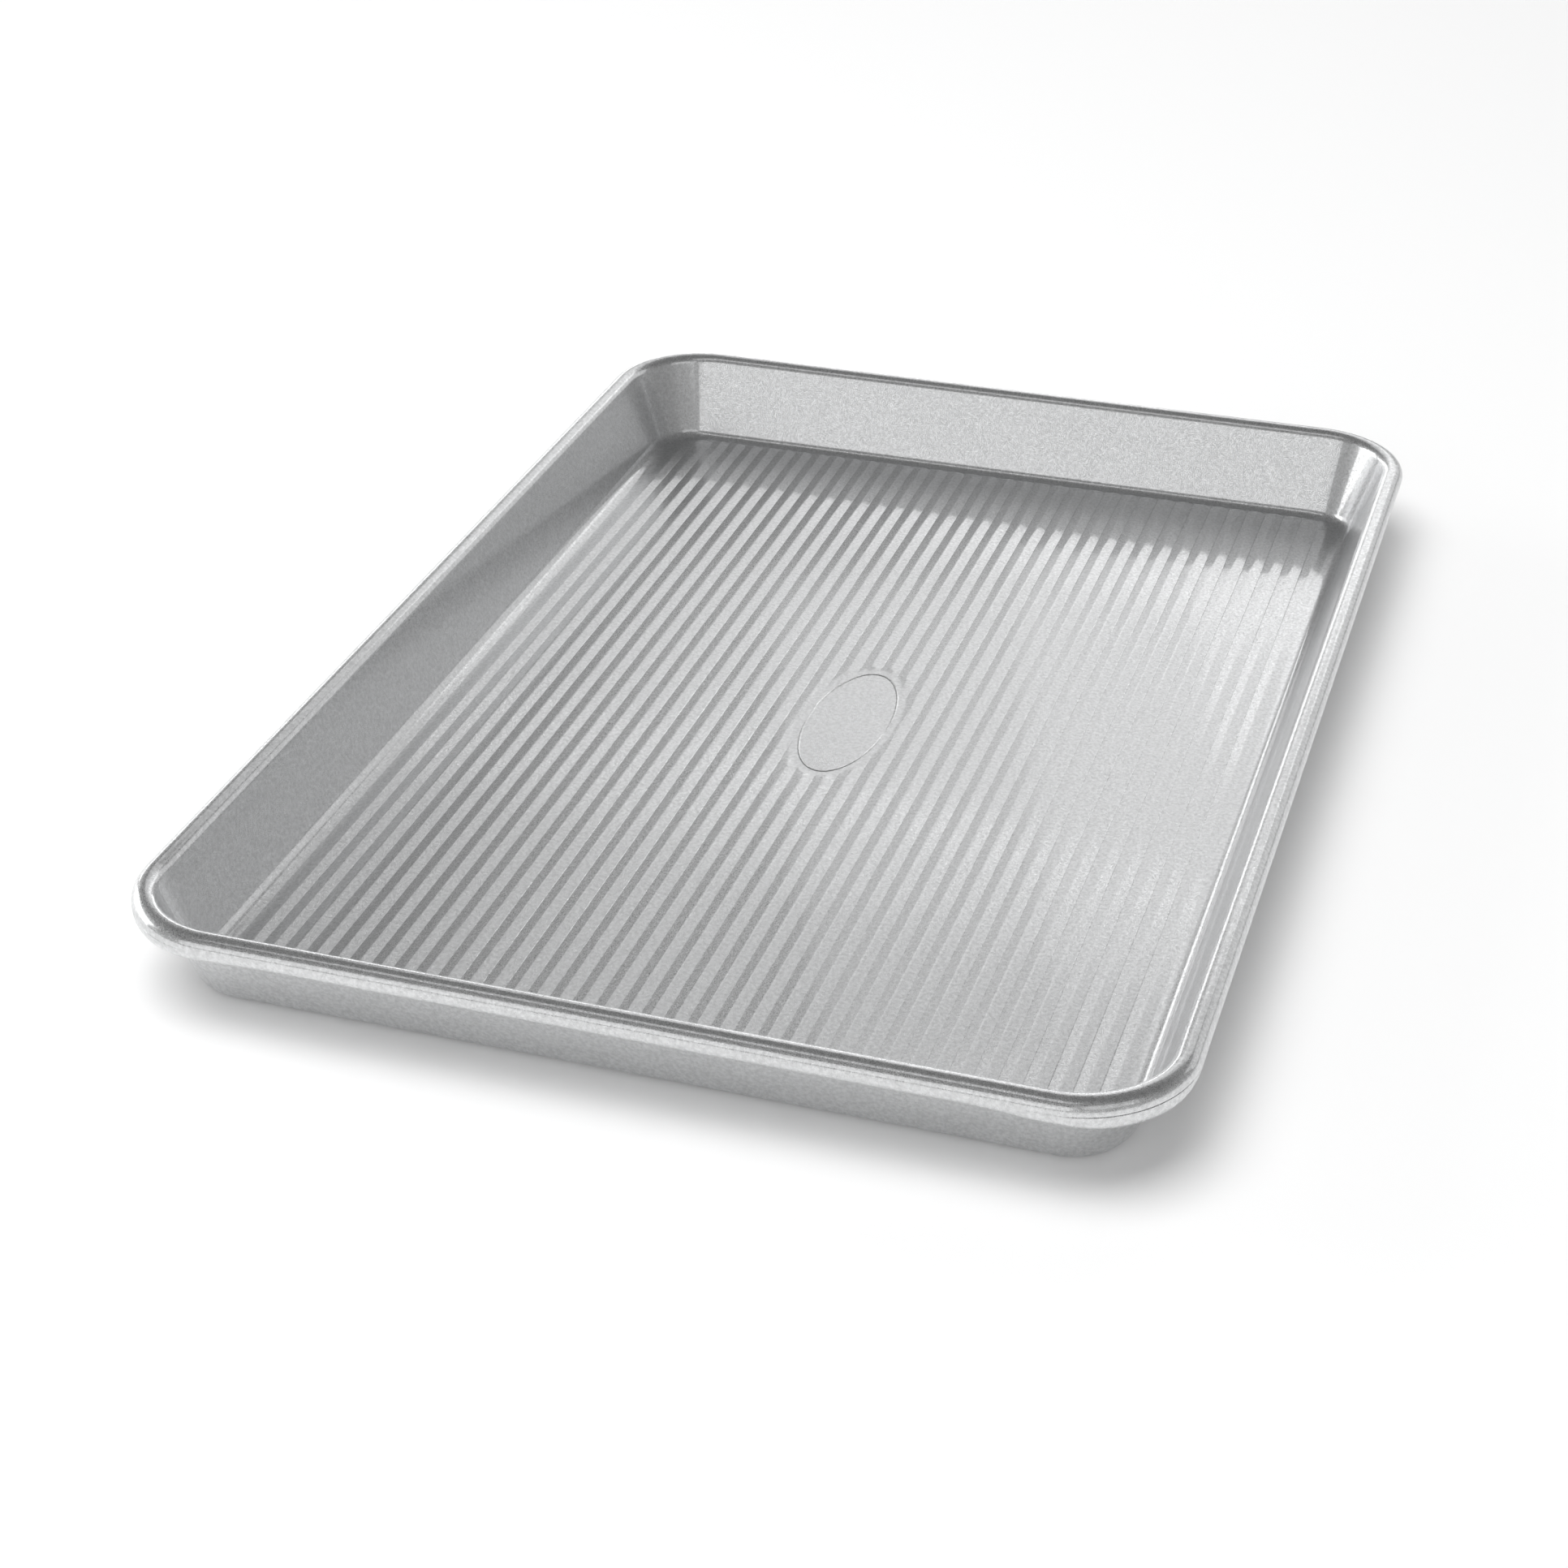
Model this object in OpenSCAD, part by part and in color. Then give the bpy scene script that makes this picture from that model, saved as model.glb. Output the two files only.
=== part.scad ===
// Jelly roll pan: one pressed steel sheet with a fluted base, leaning walls and
// a curled rim, and the steel wire that the rim is curled round.
// X runs across the flutes, Y along them and Z up. The origin is the middle of
// the underside, level with what the pan stands on.

/* [Pan] */
// Width over the rim, across the flutes
pan_w = 266.8; // [200:0.1:330]
// Length over the rim, along the flutes
pan_l = 390.8; // [300:0.1:460]
// Height from the table to the top of the rim
pan_h = 26.6; // [20:0.1:50]
// Thickness of the steel sheet
sheet_t = 0.8; // [0.5:0.05:1.2]
// Corner radius in plan, outside the rim
corner_r = 29.6; // [26:0.1:50]
// Lean of the walls out of upright, in degrees
wall_lean = 20; // [5:0.5:25]
// Inside radius where the walls meet the base
foot_r = 3; // [1.5:0.25:4.5]

/* [Rim] */
// Diameter of the wire in the rim
wire_d = 5; // [3:0.1:7]
// Clearance all round between the wire and the curled sheet
wire_gap = 0.1; // [0.05:0.05:0.4]
// Gap between the curl's raw edge and the wall that it turns back to
curl_gap = 0.4; // [0.2:0.05:1]
// Gap between the butted ends of the wire
wire_joint = 0.5; // [0.2:0.1:3]

/* [Flutes] */
// Spacing of the flutes
flute_pitch = 6; // [4:0.1:12]
// Slope of a flute's two sides, in degrees
flute_slope = 8; // [3:0.5:15]
// Radius of a flute's rounded crest
crest_r = 3.5; // [1:0.25:6]
// Width of the flat line between two flutes
valley_w = 0.3; // [0.2:0.05:1]

/* [Oval pad] */
// Length of the plain oval pad, along the flutes
pad_l = 60.4; // [30:0.1:100]
// Width of the plain oval pad
pad_w = 24.4; // [12:0.1:60]
// Width of the raised line round the pad
pad_line_w = 0.8; // [0.4:0.1:2]
// Height of the raised line round the pad
pad_line_h = 0.15; // [0.05:0.05:0.4]

/* [Hidden] */
$fn = 64;
// Straight pieces that round a flute's crest
crest_steps = 4;
// Angle between two points of an oval's outline
oval_step = 7.5;
// Depth by which a cut runs past a face
past = 1;

// Rim: radii of the curl's two faces, and where its centre line runs
curl_in = wire_d / 2 + wire_gap;
curl_out = curl_in + sheet_t;
rim_x = pan_w / 2 - curl_out;
rim_y = pan_l / 2 - curl_out;
rim_z = pan_h - curl_out;
rim_r = corner_r - curl_out;

// Wall: its outer face leaves the curl's inner face at a tangent and would meet
// the table at wall_foot, and the bend at its foot starts at bend_start. Both are
// measured outward from the rim's centre line.
wall_foot = -(curl_in + rim_z * sin(wall_lean)) / cos(wall_lean);
bend_out = foot_r + sheet_t;
bend_run = bend_out * tan((90 - wall_lean) / 2);
bend_start = wall_foot - bend_run;
wall_len = rim_z * cos(wall_lean) - wall_foot * sin(wall_lean) - bend_run;

// Base: the flat part ends where the bend of the walls starts
flat_x = rim_x + bend_start;
flat_y = rim_y + bend_start;
flat_r = rim_r + bend_start;

// Flutes: as many whole ones each side of the middle as the flat part takes
flutes_a_side = floor((flat_x - valley_w / 2) / flute_pitch);
field_x = flutes_a_side * flute_pitch + valley_w / 2;
side_run = flute_pitch / 2 - valley_w / 2 - crest_r * sin(flute_slope);
crest_h = side_run * tan(flute_slope) + crest_r * (1 - cos(flute_slope));

// Points of one flute's outline, from its left foot to its right foot
function flute(left) = [
    [left + valley_w / 2, 0],
    for (i = [-crest_steps / 2 : crest_steps / 2])
        let (a = 2 * i / crest_steps * flute_slope)
        [
            left + flute_pitch / 2 + crest_r * sin(a),
            crest_h - crest_r * (1 - cos(a))
        ],
    [left + flute_pitch - valley_w / 2, 0]
];

// Points of all the flutes' outline
function flutes() = [
    for (i = [-flutes_a_side : flutes_a_side - 1])
        each flute(i * flute_pitch)
];

// Points of an oval that is wide across X and long along Y
function oval(wide, long) = [
    for (a = [0 : oval_step : 360 - oval_step])
        [wide / 2 * cos(a), long / 2 * sin(a)]
];

// Rounded rectangle with the half sides half_x and half_y
module rounded_rect(half_x, half_y, r) {
    square([2 * half_x, 2 * (half_y - r)], center = true);
    square([2 * (half_x - r), 2 * half_y], center = true);
    for (sx = [-1, 1], sy = [-1, 1])
        translate([sx * (half_x - r), sy * (half_y - r)])
            circle(r);
}

// Outline of the flutes in plan, drawn in by inset from the walls and the pad
module flute_field(inset) {
    difference() {
        intersection() {
            rounded_rect(flat_x - inset, flat_y - inset, flat_r - inset);
            square([2 * field_x, pan_l], center = true);
        }
        polygon(oval(pad_w + 2 * inset, pad_l + 2 * inset));
    }
}

// The flutes' outline run along Y and closed at the height floor_z
module flute_prism(floor_z) {
    translate([0, pan_l / 2, 0])
        rotate([90, 0, 0])
            linear_extrude(pan_l)
                polygon(concat([[-field_x, floor_z]], flutes(), [[field_x, floor_z]]));
}

// Fluted base: the flutes rise from the flat sheet and are hollow underneath
module base() {
    difference() {
        union() {
            linear_extrude(sheet_t)
                rounded_rect(flat_x, flat_y, flat_r);
            intersection() {
                translate([0, 0, sheet_t])
                    flute_prism(-sheet_t / 2);
                linear_extrude(pan_h)
                    flute_field(0);
            }
        }
        intersection() {
            flute_prism(-past);
            translate([0, 0, -past])
                linear_extrude(pan_h)
                    flute_field(sheet_t);
        }
    }
}

// Raised line round the plain oval pad
module pad_line() {
    linear_extrude(sheet_t + pad_line_h)
        difference() {
            polygon(oval(pad_w, pad_l));
            polygon(oval(pad_w - 2 * pad_line_w, pad_l - 2 * pad_line_w));
        }
}

// Section of the bend at a wall's foot, as wide as the angle that it turns
module bend_section() {
    reach = 3 * bend_out;
    translate([bend_start, bend_out])
        intersection() {
            difference() {
                circle(bend_out);
                circle(foot_r);
            }
            polygon([[0, 0], [0, -reach], reach * [cos(wall_lean), -sin(wall_lean)]]);
        }
}

// Section of the curl, less the gap at its raw edge
module curl_section() {
    difference() {
        circle(curl_out);
        circle(curl_in);
        translate([-2 * curl_out, -2 * curl_out])
            square([2 * curl_out - curl_in + curl_gap, 2 * curl_out]);
    }
}

// Section of a whole wall, with X outward from the rim's centre line
module wall_section() {
    bend_section();
    translate([0, rim_z])
        rotate(-wall_lean) {
            curl_section();
            translate([-curl_out, -wall_len])
                square([sheet_t, wall_len]);
        }
}

// Section of the wire, with X outward from the rim's centre line
module wire_section() {
    translate([0, rim_z])
        circle(wire_d / 2);
}

// The section in children, run along Y for half_len each way
module run(half_len) {
    rotate([90, 0, 0])
        translate([0, 0, -half_len])
            linear_extrude(2 * half_len)
                children();
}

// The section in children, along both long sides
module long_sides() {
    for (turn = [0, 180])
        rotate(turn)
            translate([rim_x, 0, 0])
                run(rim_y - rim_r)
                    children();
}

// The section in children, along the short side at -Y
module near_side() {
    rotate(-90)
        translate([rim_y, 0, 0])
            run(rim_x - rim_r)
                children();
}

// The section in children, along the short side at +Y, with a gap in its middle
module far_side(gap) {
    half_len = (rim_x - rim_r - gap / 2) / 2;
    rotate(90)
        for (end = [-1, 1])
            translate([rim_y, end * (gap / 2 + half_len), 0])
                run(half_len)
                    children();
}

// The section in children, turned round the four corners
module corners() {
    for (sx = [-1, 1], sy = [-1, 1])
        mirror([sx < 0 ? 1 : 0, 0, 0])
            mirror([0, sy < 0 ? 1 : 0, 0])
                translate([rim_x - rim_r, rim_y - rim_r, 0])
                    rotate_extrude(angle = 90)
                        translate([rim_r, 0])
                            children();
}

// Pressed sheet: the fluted base, the line round its pad, and the curled walls
module pan_body() {
    color("silver") {
        base();
        pad_line();
        long_sides() wall_section();
        near_side() wall_section();
        far_side(0) wall_section();
        corners() wall_section();
    }
}

// Wire inside the curl: one length bent round, its ends butted on the far side
module rim_wire() {
    color("dimgray") {
        long_sides() wire_section();
        near_side() wire_section();
        far_side(wire_joint) wire_section();
        corners() wire_section();
    }
}

pan_body();
rim_wire();
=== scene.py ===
# Looks of the jelly roll pan: one pressed steel sheet with a fluted base, its
# edge curled round a wire. Metres, with X across the flutes, Y along them and Z up.
import math

import bmesh
import bpy
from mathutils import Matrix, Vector
from mathutils.geometry import delaunay_2d_cdt


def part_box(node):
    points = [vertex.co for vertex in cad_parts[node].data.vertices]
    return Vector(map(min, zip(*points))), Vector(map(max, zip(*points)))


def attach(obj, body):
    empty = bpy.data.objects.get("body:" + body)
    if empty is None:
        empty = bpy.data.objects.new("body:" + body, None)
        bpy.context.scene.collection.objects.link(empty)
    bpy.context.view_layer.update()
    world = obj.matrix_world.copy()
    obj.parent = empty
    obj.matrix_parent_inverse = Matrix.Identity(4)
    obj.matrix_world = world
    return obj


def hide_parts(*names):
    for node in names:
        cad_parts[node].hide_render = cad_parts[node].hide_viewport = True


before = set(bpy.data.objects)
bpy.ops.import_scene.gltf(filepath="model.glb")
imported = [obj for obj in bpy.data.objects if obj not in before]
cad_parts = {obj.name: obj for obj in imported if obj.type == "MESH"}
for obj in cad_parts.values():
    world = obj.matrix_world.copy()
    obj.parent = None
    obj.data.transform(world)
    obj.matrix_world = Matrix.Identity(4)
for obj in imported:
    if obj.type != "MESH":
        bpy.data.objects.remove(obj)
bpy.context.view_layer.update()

MM = 0.001
RIGHT_ANGLE = 90

# Sheet, wire and rim, with the rim's centre line taken from the frame. Its corners turn
# round the points turn_x, turn_y.
sheet_t = 0.8 * MM
wire_gap = 0.1 * MM
wire_low, wire_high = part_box("rim_wire")
pan_low, pan_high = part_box("pan_body")
curl_in = (wire_high.z - wire_low.z) / 2 + wire_gap
curl_out = curl_in + sheet_t
rim_x = pan_high.x - curl_out
rim_y = pan_high.y - curl_out
rim_z = pan_high.z - curl_out
rim_r = 26.2 * MM
turn_x = rim_x - rim_r
turn_y = rim_y - rim_r

# Walls and the bend at their foot, which is wider along the long sides. The walls' outer
# face would meet the table at wall_foot, outward from the rim's centre line.
wall_lean = math.radians(20)
side_foot_r = 5 * MM
end_foot_r = 3 * MM
wall_foot = -(curl_in + rim_z * math.sin(wall_lean)) / math.cos(wall_lean)

# Flutes, the crease along the valley between two of them, and their squeezed tips
flute_pitch = 6 * MM
flutes_a_side = 19
flute_slope = math.radians(8)
crest_r = 3.5 * MM
valley_w = 0.3 * MM
valley_depth = 0.05 * MM
tip_gap = 0.1 * MM
foot_reach = (flute_pitch - valley_w) / 2
tip_squeeze = 0.45
crest_reach = crest_r * math.sin(flute_slope)

# Oval pad, the raised line round it and the stretch over which the flutes fade
pad_x = 12.2 * MM
pad_y = 30.2 * MM
line_w = 0.8 * MM
line_h = 0.12 * MM
fade_start = 0.8 * MM
fade_end = 5 * MM


def bend_start(foot_r):
    """Where the base turns into a bend of this radius, outward from the rim's centre line."""
    bend = math.radians(RIGHT_ANGLE) - wall_lean
    return wall_foot - (foot_r + sheet_t) * math.tan(bend / 2)


def bend_radius(out):
    """Inside radius of the bend below a wall that faces this way."""
    return side_foot_r * out.x**2 + end_foot_r * out.y**2


def smooth(t):
    """0 below 0, 1 above 1 and an even S between."""
    t = min(max(t, 0), 1)
    return t * t * (3 - 2 * t)


# Outline of the rim and base

flat_x = rim_x + bend_start(side_foot_r)
flat_y = rim_y + bend_start(end_foot_r)


def straight_stops(half_len):
    """Where a straight side has a section: close together near the corners."""
    stops = [half_len - back * MM for back in (3, 7, 12, 18)]
    return [-stop for stop in stops] + [-half_len / 3, half_len / 3] + stops[::-1]


def path_stations():
    """Round the rim's centre line: place, outward direction and the curl's flare.

    The curl is more open at the corners, most at the one at +X -Y.
    """
    turn_steps = 24
    fade_run = 18 * MM
    flares = [0.8 * MM, 0.7 * MM, 0.8 * MM, 1.5 * MM]
    sides = [(rim_x, 0, turn_y), (0, rim_y, turn_x), (-rim_x, 0, turn_y), (0, -rim_y, turn_x)]
    corners = [(turn_x, turn_y), (-turn_x, turn_y), (-turn_x, -turn_y), (turn_x, -turn_y)]
    stations = []
    for quarter, (mid_x, mid_y, half_len) in enumerate(sides):
        out = Vector((round(math.cos(quarter * math.pi / 2)), round(math.sin(quarter * math.pi / 2))))
        along = Vector((-out.y, out.x))
        for stop in straight_stops(half_len):
            near = flares[quarter] if stop > 0 else flares[quarter - 1]
            flare = near * 0.5 * smooth(1 - (half_len - abs(stop)) / fade_run)
            stations.append((Vector((mid_x, mid_y)) + along * stop, out, flare))
        for i in range(turn_steps + 1):
            share = i / turn_steps
            turned = (quarter + share) * math.pi / 2
            out = Vector((math.cos(turned), math.sin(turned)))
            flare = flares[quarter] * (0.5 + 0.5 * smooth(min(share, 1 - share) * 3))
            stations.append((Vector(corners[quarter]) + out * rim_r, out, flare))
    return stations


def arc(centre, radius, start, end, steps):
    """Points round a centre from one angle to another, both in degrees."""
    turns = [math.radians(start + (end - start) * i / steps) for i in range(steps + 1)]
    return [(centre[0] + radius * math.cos(a), centre[1] + radius * math.sin(a)) for a in turns]


def curl_section(flare):
    """Section of the curl from the wall's inner face over the top, and back inside it.

    Where the curl flares, its lower half opens out below a thin crease. Angles are in
    degrees from straight outward.
    """
    wall_side = 180 - math.degrees(wall_lean)
    over_top = [wall_side - 10 * i for i in range(16)]
    crease_at = -5
    crease_half = 3
    crease_depth = 0.16 * flare
    crease = [crease_at + crease_half * k for k in (3, 2, 1, 0.5, 0, -0.5, -1, -2, -3)]
    raw_edge = -150 + 20 * flare / MM
    edge_steps = 12
    edge_turn = raw_edge - crease[-1]
    down = [crease[-1] + edge_turn * i / edge_steps for i in range(1, edge_steps + 1)]
    opening = 55
    outside = []
    inside = []
    for a in over_top + crease + down:
        opened = flare * smooth((crease_at - a) / opening)
        groove = crease_depth * max(1 - abs(a - crease_at) / crease_half, 0)
        turn = Vector((math.cos(math.radians(a)), math.sin(math.radians(a))))
        outside.append(tuple(turn * (curl_out + opened - groove) + Vector((0, rim_z))))
        inside.append(tuple(turn * (curl_in + opened) + Vector((0, rim_z))))
    return outside + inside[::-1]


def wall_section(flare, foot_r):
    """Section of a wall as (outward, up), from the base's top face to its underside."""
    lean = math.degrees(wall_lean)
    bend_out = foot_r + sheet_t
    bend = (bend_start(foot_r), bend_out)
    bend_steps = 8
    inner_bend = arc(bend, foot_r, -RIGHT_ANGLE, -lean, bend_steps)
    outer_bend = arc(bend, bend_out, -lean, -RIGHT_ANGLE, bend_steps)
    return inner_bend + curl_section(flare) + outer_bend


# Height of the base


def straight_half_length(x):
    """Half the length of the straight part of the flute whose crest runs at x.

    It is shorter in the corners. The rounded tips beyond it are squeezed along Y.
    """
    half = flat_y - tip_gap
    corner_x = flat_x - turn_x
    corner_y = flat_y - turn_y
    past = abs(x) + foot_reach - turn_x
    if past > 0:
        half -= corner_y * (1 - math.sqrt(1 - (past / corner_x) ** 2))
    return half - foot_reach * tip_squeeze


def valley_height(x, y):
    """Height of the fine crease along the middle of each valley, less than 0."""
    index = round(x / flute_pitch)
    if abs(index) >= flutes_a_side:
        return 0
    half_len = straight_half_length(abs(index * flute_pitch) + flute_pitch / 2)
    across = 1 - abs(x - index * flute_pitch) / (valley_w / 2)
    if across <= 0 or abs(y) > half_len:
        return 0
    return -valley_depth * across


def flute_height(x, y):
    """Height of the flutes above the flat sheet."""
    index = math.floor(x / flute_pitch)
    if index < -flutes_a_side or index >= flutes_a_side:
        return 0
    crest_x = (index + 0.5) * flute_pitch
    beyond = max(abs(y) - straight_half_length(crest_x), 0)
    reach = math.hypot(x - crest_x, beyond / tip_squeeze)
    if reach >= foot_reach:
        return valley_height(x, y)
    if reach > crest_reach:
        return (foot_reach - reach) * math.tan(flute_slope)
    crest_top = (foot_reach - crest_reach) * math.tan(flute_slope)
    return crest_top + math.sqrt(crest_r**2 - reach**2) - crest_r * math.cos(flute_slope)


def outside_pad(x, y):
    """Roughly how far a point lies outside the oval pad, less than 0 inside it."""
    turn = math.hypot(x / pad_x, y / pad_y)
    if turn < 1e-6:
        return -pad_x
    slope = math.hypot(x / pad_x**2, y / pad_y**2) / turn
    return (turn - 1) / slope


def base_height(x, y):
    """Height of the base above the flat sheet."""
    out = outside_pad(x, y)
    line = abs(out + line_w / 2) / (line_w / 2)
    raised = line_h * (1 + math.cos(math.pi * line)) / 2 if line < 1 else 0
    fade = smooth((out - fade_start) / (fade_end - fade_start))
    return flute_height(x, y) * fade + raised


# Plan of the base


def flute_loop(crest_x, reach, steps=8):
    """Outline in plan at a reach from a flute's crest line: two sides and rounded tips."""
    tip = [(x, y * tip_squeeze) for x, y in arc((0, 0), reach, 0, 180, steps)]
    end_y = straight_half_length(crest_x)
    return [(crest_x + x, end_y + y) for x, y in tip] + [(crest_x - x, -end_y - y) for x, y in tip]


def oval_loop(out, steps=72):
    """Outline of the oval pad, grown by out."""
    turns = [2 * math.pi * i / steps for i in range(steps)]
    return [((pad_x + out) * math.cos(a), (pad_y + out) * math.sin(a)) for a in turns]


def base_plan(rim_points):
    """Points and triangles of the base in plan, with every fold and outline as an edge."""
    points = []
    edges = []

    def add(loop, closed=True):
        first = len(points)
        points.extend(Vector(p) for p in loop)
        last = len(points) - 1
        edges.extend((i, i + 1) for i in range(first, last))
        if closed:
            edges.append((last, first))

    add(rim_points)
    crest_steps = 3
    for i in range(-flutes_a_side, flutes_a_side):
        crest_x = (i + 0.5) * flute_pitch
        end_y = straight_half_length(crest_x)
        add(flute_loop(crest_x, foot_reach))
        for step in range(crest_steps, 0, -1):
            add(flute_loop(crest_x, crest_r * math.sin(flute_slope * step / crest_steps)))
        add([(crest_x, -end_y), (crest_x, end_y)], closed=False)
    for i in range(1 - flutes_a_side, flutes_a_side):
        valley_x = i * flute_pitch
        end_y = straight_half_length(abs(valley_x) + flute_pitch / 2)
        add([(valley_x, -end_y), (valley_x, end_y)], closed=False)
    for share in (0, 0.25, 0.5, 0.75, 1):
        add(oval_loop(-line_w * share))
    for share in (0, 0.2, 0.4, 0.6, 0.8, 1):
        add(oval_loop(fade_start + (fade_end - fade_start) * share))
    made = delaunay_2d_cdt(points, edges, [], 0, 1e-9)
    return made[0], made[2]


# Pan


def build_sheet():
    """The whole pressed sheet as one closed mesh."""
    stations = path_stations()
    mesh = bmesh.new()
    same_place = 0.002 * MM
    rings = [
        [mesh.verts.new((*(place + out * r), z)) for r, z in wall_section(flare, bend_radius(out))]
        for place, out, flare in stations
    ]
    for here, there in zip(rings, rings[1:] + rings[:1]):
        for i in range(len(here) - 1):
            mesh.faces.new((here[i], there[i], there[i + 1], here[i + 1])).smooth = True
    foot = [tuple(place + out * bend_start(bend_radius(out))) for place, out, flare in stations]
    plan, triangles = base_plan(foot)
    for lift, flip in ((sheet_t, False), (0, True)):
        heights = [max(lift + base_height(p.x, p.y), 0) for p in plan]
        verts = [mesh.verts.new((p.x, p.y, z)) for p, z in zip(plan, heights)]
        for t in triangles:
            corners = [verts[i] for i in (reversed(t) if flip else t)]
            mesh.faces.new(corners).smooth = True
    bmesh.ops.remove_doubles(mesh, verts=mesh.verts, dist=same_place)
    bmesh.ops.recalc_face_normals(mesh, faces=mesh.faces)
    mark_folds(mesh)
    data = bpy.data.meshes.new("pan_sheet")
    mesh.to_mesh(data)
    mesh.free()
    sheet = bpy.data.objects.new("pan_sheet", data)
    bpy.context.scene.collection.objects.link(sheet)
    weighted = sheet.modifiers.new("flat_facets", "WEIGHTED_NORMAL")
    weighted.keep_sharp = True
    return sheet


def mark_folds(mesh):
    """Keeps the flutes' folds and the sheet's raw edge crisp, and the rest smooth."""
    flute_fold = math.radians(7)
    raw_edge = math.radians(40)
    clear_of_base = sheet_t + flute_pitch
    for edge in mesh.edges:
        if not edge.is_manifold:
            continue
        in_base = all(
            v.co.z < clear_of_base and abs(v.co.x) < flat_x and abs(v.co.y) < flat_y
            for v in edge.verts
        )
        if edge.calc_face_angle() > (flute_fold if in_base else raw_edge):
            edge.smooth = False


# Materials


def speckled(material, scale, detail, start, end, low, high):
    """Value that turns from low to high in specks of about 1 / scale metres.

    Start and end are the heights of the noise, from 0 to 1, between which it turns.
    """
    nodes = material.node_tree.nodes
    links = material.node_tree.links
    place = nodes.new("ShaderNodeTexCoord")
    noise = nodes.new("ShaderNodeTexNoise")
    noise.inputs["Scale"].default_value = scale
    noise.inputs["Detail"].default_value = detail
    links.new(place.outputs["Object"], noise.inputs["Vector"])
    value = nodes.new("ShaderNodeMapRange")
    value.inputs["From Min"].default_value = start
    value.inputs["From Max"].default_value = end
    value.inputs["To Min"].default_value = low
    value.inputs["To Max"].default_value = high
    links.new(noise.outputs["Fac"], value.inputs["Value"])
    return value.outputs["Result"]


def steel(name, colour, glossy, hazy):
    """Satin steel: specks that mirror sharply among specks that scatter widely.

    Glossy and hazy are the roughness of the two kinds of specks.
    """
    material = bpy.data.materials.new(name)
    material.use_nodes = True
    nodes = material.node_tree.nodes
    links = material.node_tree.links
    shader = nodes["Principled BSDF"]
    shader.inputs["Metallic"].default_value = 1
    shade = nodes.new("ShaderNodeMix")
    shade.data_type = "RGBA"
    shade.blend_type = "MULTIPLY"
    shade.inputs["Factor"].default_value = 1
    shade.inputs["A"].default_value = (*colour, 1)
    tone = speckled(material, scale=1000, detail=4, start=0.35, end=0.65, low=0.9, high=1.1)
    haze = speckled(material, scale=6000, detail=1, start=0.44, end=0.47, low=glossy, high=hazy)
    links.new(tone, shade.inputs["B"])
    links.new(shade.outputs["Result"], shader.inputs["Base Color"])
    links.new(haze, shader.inputs["Roughness"])
    return material


# Stage


def build_floor():
    """Plain pale floor that shows about white where no shadow falls.

    The lamps' light on its colour gives nearly all of that, the key lamp about half. A
    small glow is added where the camera, metal or glass sees it.
    """
    half = 6
    data = bpy.data.meshes.new("floor")
    corners = [(-half, -half, 0), (half, -half, 0), (half, half, 0), (-half, half, 0)]
    data.from_pydata(corners, [], [(0, 1, 2, 3)])
    floor = bpy.data.objects.new("floor", data)
    bpy.context.scene.collection.objects.link(floor)
    material = bpy.data.materials.new("floor")
    material.use_nodes = True
    nodes = material.node_tree.nodes
    links = material.node_tree.links
    shader = nodes["Principled BSDF"]
    shader.inputs["Base Color"].default_value = (0.9, 0.9, 0.9, 1)
    shader.inputs["Roughness"].default_value = 1
    shader.inputs["Specular IOR Level"].default_value = 0
    shader.inputs["Emission Color"].default_value = (1, 1, 1, 1)
    ray = nodes.new("ShaderNodeLightPath")
    seen = nodes.new("ShaderNodeMath")
    seen.operation = "MAXIMUM"
    links.new(ray.outputs["Is Camera Ray"], seen.inputs[0])
    links.new(ray.outputs["Is Glossy Ray"], seen.inputs[1])
    seen_or_through = nodes.new("ShaderNodeMath")
    seen_or_through.operation = "MAXIMUM"
    links.new(seen.outputs[0], seen_or_through.inputs[0])
    links.new(ray.outputs["Is Transmission Ray"], seen_or_through.inputs[1])
    glow = nodes.new("ShaderNodeMath")
    glow.operation = "MULTIPLY"
    glow.inputs[1].default_value = 0.06
    links.new(seen_or_through.outputs[0], glow.inputs[0])
    links.new(glow.outputs[0], shader.inputs["Emission Strength"])
    data.materials.append(material)


def build_world(horizon, zenith):
    """Surroundings that are bright along the horizon and darker overhead."""
    world = bpy.data.worlds.new("studio")
    bpy.context.scene.world = world
    world.use_nodes = True
    nodes = world.node_tree.nodes
    links = world.node_tree.links
    light = nodes["Background"]
    light.inputs["Color"].default_value = (1, 1, 1, 1)
    direction = nodes.new("ShaderNodeTexCoord")
    split = nodes.new("ShaderNodeSeparateXYZ")
    links.new(direction.outputs["Generated"], split.inputs[0])
    fall = nodes.new("ShaderNodeMapRange")
    fall.interpolation_type = "SMOOTHSTEP"
    fall.inputs["From Min"].default_value = 0
    fall.inputs["From Max"].default_value = 0.8
    fall.inputs["To Min"].default_value = horizon
    fall.inputs["To Max"].default_value = zenith
    links.new(split.outputs["Z"], fall.inputs["Value"])
    links.new(fall.outputs["Result"], light.inputs["Strength"])


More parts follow.
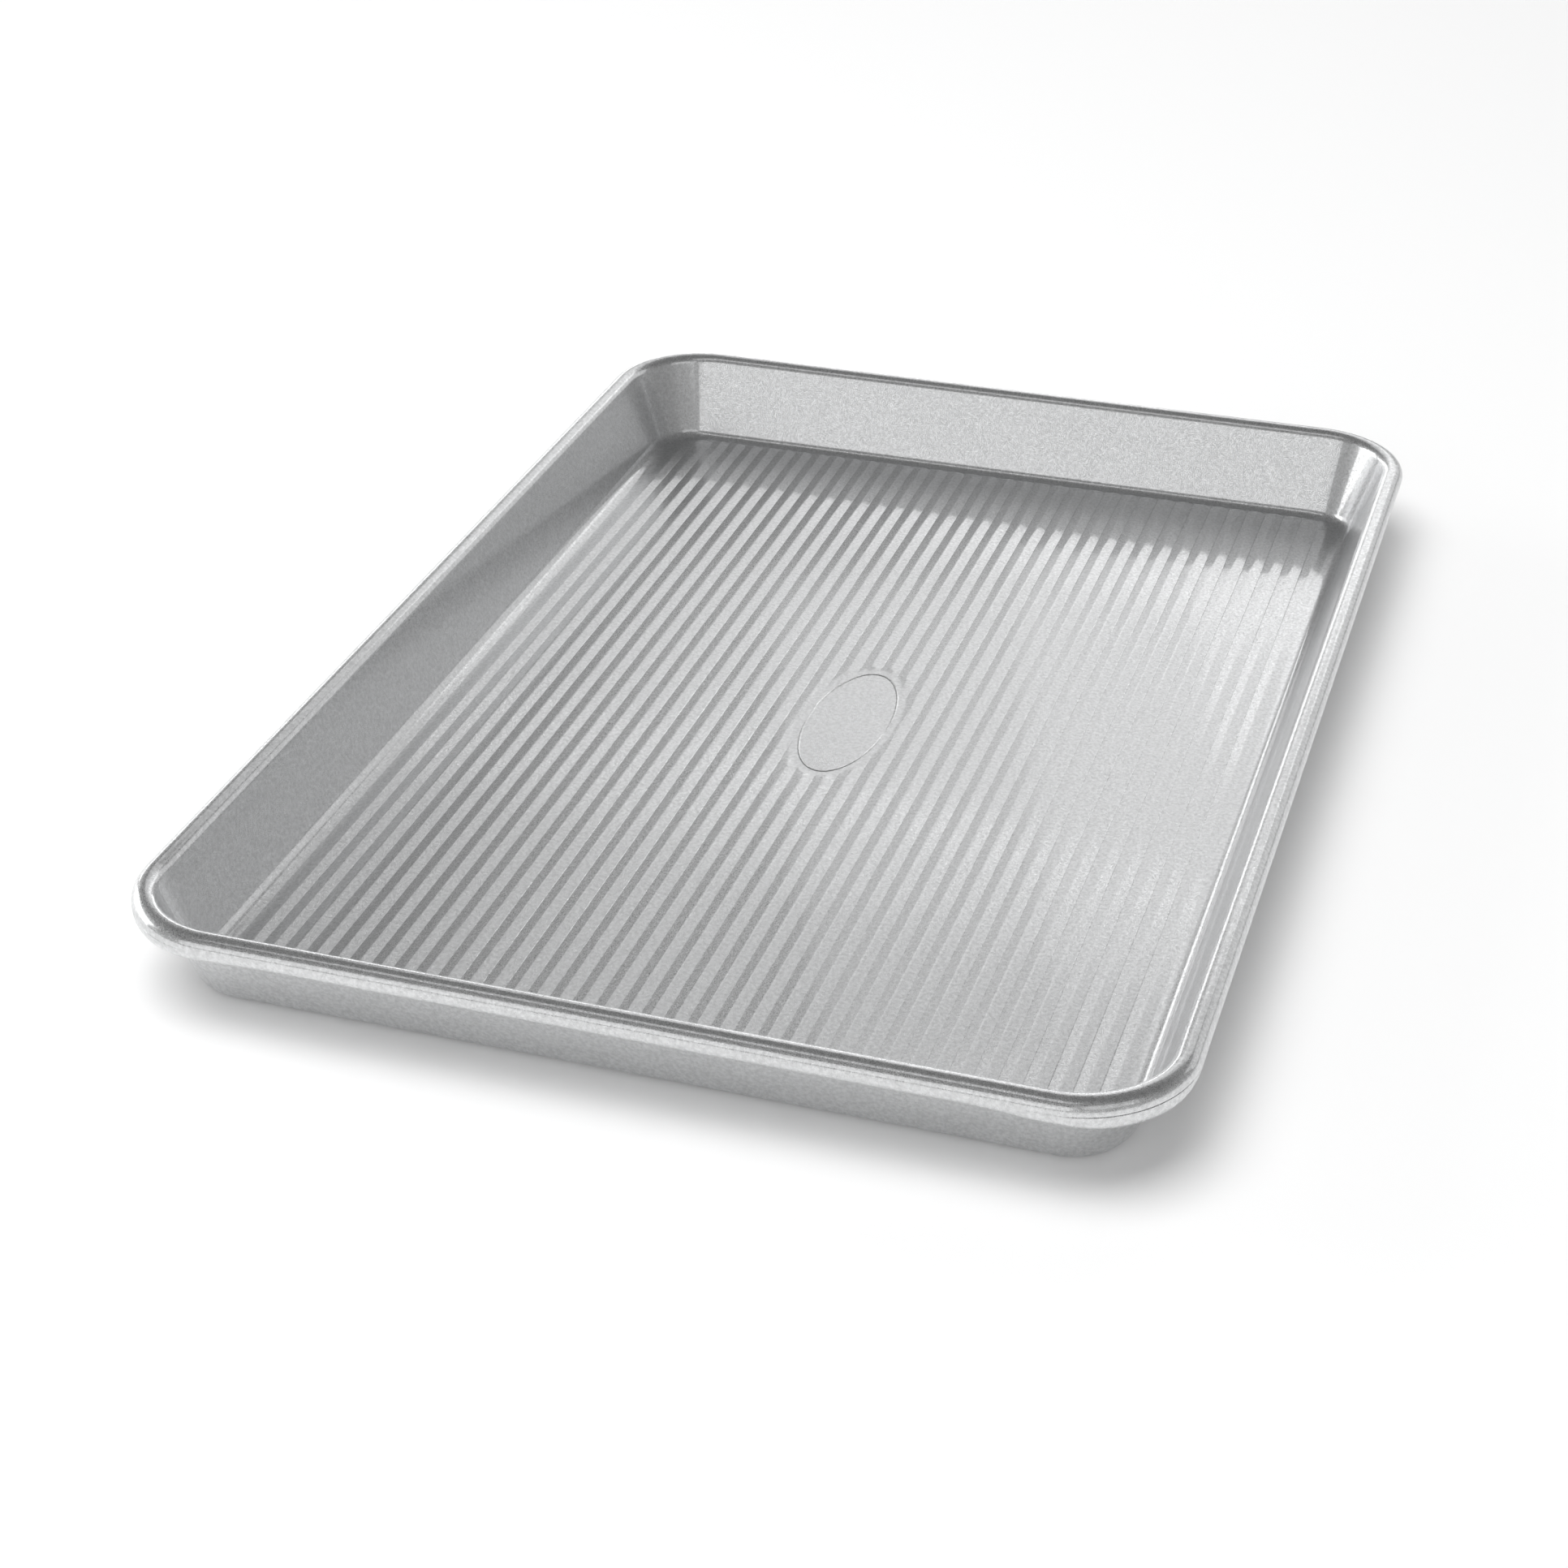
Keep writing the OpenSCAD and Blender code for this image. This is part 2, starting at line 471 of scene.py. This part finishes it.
def softbox(name, azimuth, elevation, width, height, radiance):
    """Large soft lamp on a sphere round the pan, facing its middle.

    Azimuth runs from the near side towards +X. Angles, width and height are in degrees.
    """
    distance = 2
    a = math.radians(azimuth)
    e = math.radians(elevation)
    back = Vector((math.sin(a) * math.cos(e), -math.cos(a) * math.cos(e), math.sin(e)))
    data = bpy.data.lights.new(name, "AREA")
    data.shape = "RECTANGLE"
    data.size = 2 * distance * math.tan(math.radians(width / 2))
    data.size_y = 2 * distance * math.tan(math.radians(height / 2))
    data.energy = radiance * math.pi * data.size * data.size_y
    lamp = bpy.data.objects.new(name, data)
    lamp.location = back * distance
    lamp.rotation_mode = "QUATERNION"
    lamp.rotation_quaternion = back.to_track_quat("Z", "Y")
    bpy.context.scene.collection.objects.link(lamp)
    return lamp


def build_key():
    """Broad lamp overhead that throws the pan's shadow, kept out of the metal's reflections."""
    key = softbox("key", 315, 76, 46, 46, 3.6)
    key.visible_glossy = False


def build_camera():
    """Camera at the photograph's angle."""
    azimuth = math.radians(17.87)
    elevation = math.radians(30.28)
    distance = 0.8188
    target = Vector((-0.00715, -0.0384, 0))
    back = Vector(
        (
            math.sin(azimuth) * math.cos(elevation),
            -math.cos(azimuth) * math.cos(elevation),
            math.sin(elevation),
        )
    )
    data = bpy.data.cameras.new("camera")
    data.lens = 67.69
    data.sensor_width = 36
    camera = bpy.data.objects.new("camera", data)
    camera.location = target + back * distance
    camera.rotation_mode = "QUATERNION"
    camera.rotation_quaternion = (-back).to_track_quat("-Z", "Y")
    bpy.context.scene.collection.objects.link(camera)
    bpy.context.scene.camera = camera


# Making the scene. The lamps' places and sizes are given, and their strengths
# follow a fit of each lamp's light to the photograph's brightness.

build_camera()
build_floor()
build_world(horizon=0.38, zenith=0.18)
build_key()
softbox("back", 180, 26, 34, 18, 0.45)
softbox("back_core", 180, 22, 24, 10, 0.67)
softbox("back_wide", 184, 29, 40, 16, 0.39)
softbox("back_up", 187, 40, 42, 12, 0.6)
softbox("back_low", 212, 9, 50, 12, 2.05)
softbox("back_right", 145, 20, 44, 26, 0.58)
softbox("left", 262, 14, 40, 26, 2.25)
softbox("front", 345, 21, 56, 28, 0.85)
softbox("front_right", 45, 34, 40, 26, 0.56)
softbox("over", 335, 69, 40, 14, 0.7)

sheet = build_sheet()
sheet.data.materials.append(steel("sheet_steel", (0.695, 0.7, 0.705), 0.08, 0.42))
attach(sheet, "root")
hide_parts("pan_body")

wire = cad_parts["rim_wire"]
wire.data.materials.clear()
wire.data.materials.append(steel("wire_steel", (0.4, 0.4, 0.4), 0.3, 0.45))

bpy.context.scene.view_settings.view_transform = "Standard"
